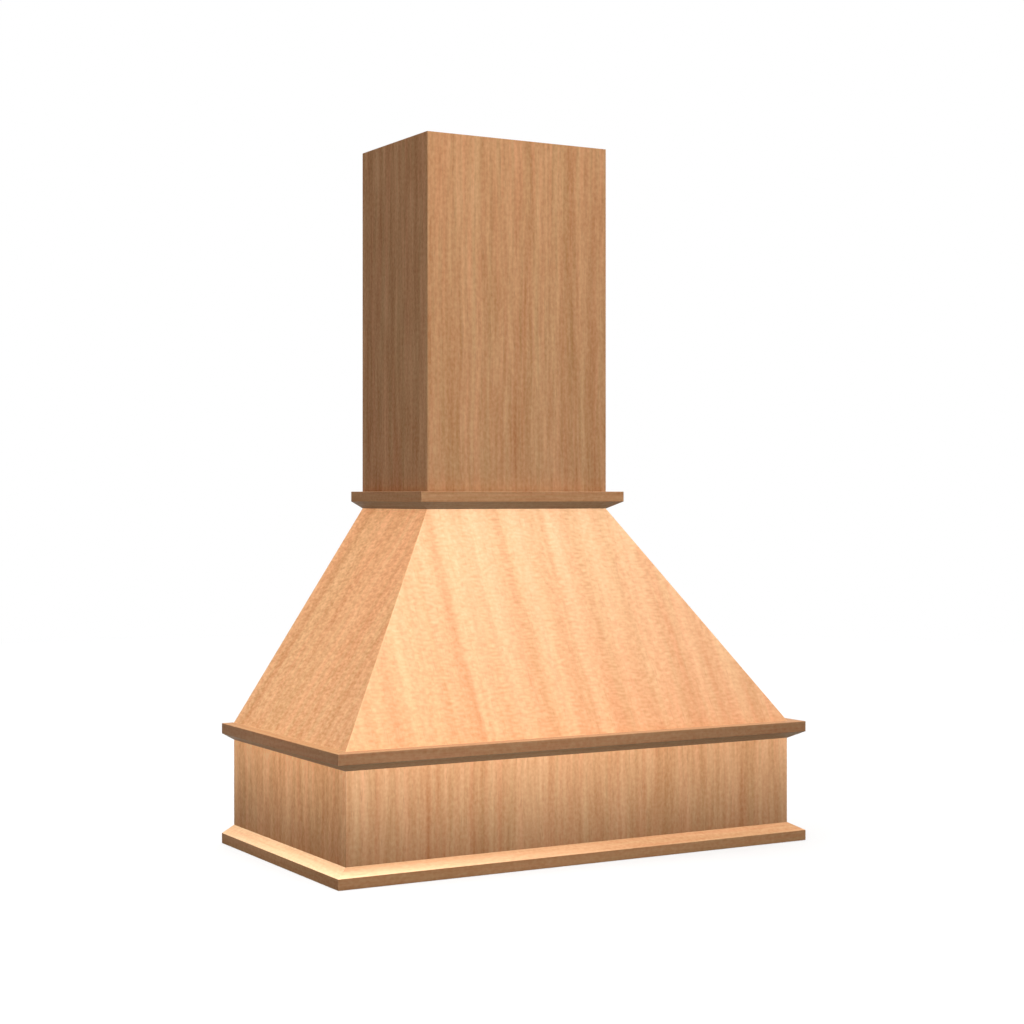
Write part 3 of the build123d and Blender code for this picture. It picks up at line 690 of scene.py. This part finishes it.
def screw_group(name, per_row):
    """Screws in two rows, set in from the corners of the node's box by a head's radius."""
    low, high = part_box(name)
    rings = screw_rings(high.z - low.z)
    points, faces = [], []
    for y in (low.y + HEAD_RADIUS, high.y - HEAD_RADIUS):
        for place in range(per_row):
            share = place / (per_row - 1)
            x = low.x + HEAD_RADIUS + (high.x - low.x - 2 * HEAD_RADIUS) * share
            first = len(points)
            for ring in rings:
                points += [(x + r * math.cos(t), y + r * math.sin(t), low.z + up)
                           for r, t, up in ring]
            floor, tip = len(points), len(points) + 1
            points += [(x, y, low.z + RECESS_TIP), (x, y, high.z)]
            last = first + (len(rings) - 1) * SPOKES
            for a in range(SPOKES):
                b = (a + 1) % SPOKES
                faces.append((floor, first + a, first + b))
                faces += [(first + k * SPOKES + a, first + (k + 1) * SPOKES + a,
                           first + (k + 1) * SPOKES + b, first + k * SPOKES + b)
                          for k in range(len(rings) - 1)]
                faces.append((last + a, tip, last + b))
    mesh = bpy.data.meshes.new("turned_" + name)
    mesh.from_pydata(points, [], faces)
    mesh.materials.append(zinc)
    for polygon in mesh.polygons:
        polygon.use_smooth = polygon.center.z > low.z + SMOOTH_FROM
    piece = bpy.data.objects.new("turned_" + name, mesh)
    bpy.context.scene.collection.objects.link(piece)
    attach(piece, "root")
    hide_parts(name)


screw_group("chimney_cleat_screws", 2)
screw_group("insert_board_screws", 3)


# ---------------------------------------------------------------------------------------------
# Studio: a pale floor that keeps the cover's shadow, shows white far off and is clear from below,
# soft lamps above and at the front right, strips near the mouldings, and an even surround.

ORIGIN = (0.0, 0.0, 0.0)
ABOVE = (0.0, 0.0, 4.0)
BELOW = (0.0, 0.0, -4.0)
FRONT_RIGHT = (1.15, -1.64, 3.46)
BEHIND = (-0.6, 3.0, 1.6)


def stage_lamp(name, kind, energy, place, aim=ORIGIN, **settings):
    """A soft lamp that stands at place, shines towards aim and isn't seen itself."""
    light = bpy.data.lights.new(name, kind)
    light.energy = energy
    for label, value in settings.items():
        setattr(light, label, value)
    lamp = bpy.data.objects.new(name, light)
    lamp.location = place
    lamp.rotation_euler = (Vector(aim) - Vector(place)).to_track_quat("-Z", "Y").to_euler()
    lamp.visible_camera = False
    bpy.context.scene.collection.objects.link(lamp)
    return lamp


def light_only(name, pieces, lamps):
    """Makes lamps light these pieces alone."""
    lit = bpy.data.collections.new(name)
    for piece in pieces:
        lit.objects.link(piece)
    for lamp in lamps:
        lamp.light_linking.receiver_collection = lit


FLOOR_REACH = 30
FLOOR_LEVEL = -0.0005
floor_mesh = bpy.data.meshes.new("studio_floor")
floor_mesh.from_pydata([(x * FLOOR_REACH, y * FLOOR_REACH, FLOOR_LEVEL)
                        for x, y in ((-1, -1), (1, -1), (1, 1), (-1, 1))], [], [(0, 1, 2, 3)])
studio_floor = bpy.data.objects.new("studio_floor", floor_mesh)
bpy.context.scene.collection.objects.link(studio_floor)


def seen_directly(tree):
    """1 where the camera, a reflection or a clear piece shows the surface, and otherwise 0."""
    path = add_node(tree, "LightPath", {})
    return maths(tree, "MAXIMUM", path["Is Camera Ray"], maths(
        tree, "MAXIMUM", path["Is Glossy Ray"], path["Is Transmission Ray"]))


floor_paper, tree = new_material("floor_paper")
tree.nodes.remove(tree.nodes["Principled BSDF"])
lighting = add_node(tree, "BsdfDiffuse", {"Color": (0.13, 0.13, 0.13, 1.0)})[0]
shaded = add_node(tree, "BsdfDiffuse", {"Color": (0.34, 0.34, 0.34, 1.0)})[0]
glow = add_node(tree, "Emission", {"Strength": 0.05})[0]
white = add_node(tree, "Emission", {})[0]
clear = add_node(tree, "BsdfTransparent", {})[0]
spot = add_node(tree, "TexCoord", {})["Object"]
distance = maths(tree, "SQRT", vectors(tree, "DOT_PRODUCT", spot, spot))
from_under = add_node(tree, "NewGeometry", {})["Backfacing"]
near = add_node(tree, "AddShader", {0: shaded, 1: glow})[0]
shown = add_node(tree, "MixShader", {0: stretch(tree, distance, 2.5, 5.0), 1: near, 2: white})[0]
shown = add_node(tree, "MixShader", {0: from_under, 1: shown, 2: clear})[0]
plug(tree, tree.nodes["Material Output"].inputs["Surface"], add_node(
    tree, "MixShader", {0: seen_directly(tree), 1: lighting, 2: shown})[0])
floor_mesh.materials.append(floor_paper)

# The suns but the first each light one set of pieces, and no piece is in two sets, because a
# piece in two may be lit differently from one render to the next. Two bright ones light the wood
# that shows, and its lower part has one from below as well. The pale frame inside, which would
# clip to white under them, has weaker ones. The floor's throw the cover's shadow and soften it.
soft = {"angle": math.radians(30), "use_shadow": False}
narrow = {"angle": math.radians(8), "use_shadow": False}
stage_lamp("sky_cloth", "SUN", 0.6, ABOVE, angle=math.radians(90))
stage_lamp("left_strip", "AREA", 0.95, (-0.80, -0.25, 0.38), (-0.43, -0.25, 0.17),
           shape="RECTANGLE", size=0.5, size_y=0.15, use_shadow=False)
stage_lamp("front_strip", "AREA", 0.55, (-0.20, -0.80, 0.28), (-0.20, -0.45, 0.19),
           shape="RECTANGLE", size=0.7, size_y=0.08, use_shadow=False)

upper_wood, lower_wood, inner_wood = [], [], []
for name, part in parts.items():
    if name.startswith(("apron_panel", "base_moulding")):
        lower_wood.append(part)
    elif "_panel_" in name or "_moulding_" in name:
        upper_wood.append(part)
    else:
        inner_wood.append(part)
light_only("upper_wood", upper_wood, [
    stage_lamp("upper_overhead", "SUN", 2.6, ABOVE, **soft),
    stage_lamp("upper_front_right", "SUN", 3.3, FRONT_RIGHT, **soft)])
light_only("lower_wood", lower_wood, [
    stage_lamp("lower_overhead", "SUN", 2.6, ABOVE, **soft),
    stage_lamp("lower_front_right", "SUN", 3.3, FRONT_RIGHT, **soft),
    stage_lamp("lower_from_below", "SUN", 1.5, BELOW, **narrow)])
light_only("inner_wood", inner_wood, [
    stage_lamp("inner_overhead", "SUN", 1.0, ABOVE, **soft),
    stage_lamp("inner_front_right", "SUN", 1.0, FRONT_RIGHT, **soft),
    stage_lamp("inner_behind", "SUN", 1.2, BEHIND, **soft),
    stage_lamp("inner_from_below", "SUN", 1.5, BELOW, **narrow)])
light_only("lit_floor", [studio_floor], [
    stage_lamp("floor_cloth", "SUN", 3.0, ABOVE, angle=math.radians(100)),
    stage_lamp("floor_fill", "SUN", 5.45, ABOVE, **soft)])

world = bpy.data.worlds.new("studio")
bpy.context.scene.world = world
world.use_nodes = True
tree = world.node_tree
surround = tree.nodes["Background"].inputs
plug(tree, surround["Strength"], stretch(tree, seen_directly(tree), 0.0, 1.0, 0.04, 1.0))
surround["Color"].default_value = (1.0, 1.0, 1.0, 1.0)


# ---------------------------------------------------------------------------------------------
# Camera: level, a little above the middle of the cover, at the front left.

camera = bpy.data.cameras.new("front_left_camera")
camera.lens = 69.24
camera.sensor_width = 36.0
camera.shift_y = -0.0157
camera.clip_end = 200.0
viewpoint = bpy.data.objects.new("front_left_camera", camera)
viewpoint.location = (-1.7433, -3.2728, 0.6133)
viewpoint.rotation_euler = (math.radians(90.0), 0.0, math.radians(-29.835))
bpy.context.scene.collection.objects.link(viewpoint)
bpy.context.scene.camera = viewpoint
bpy.context.scene.view_settings.view_transform = "Standard"
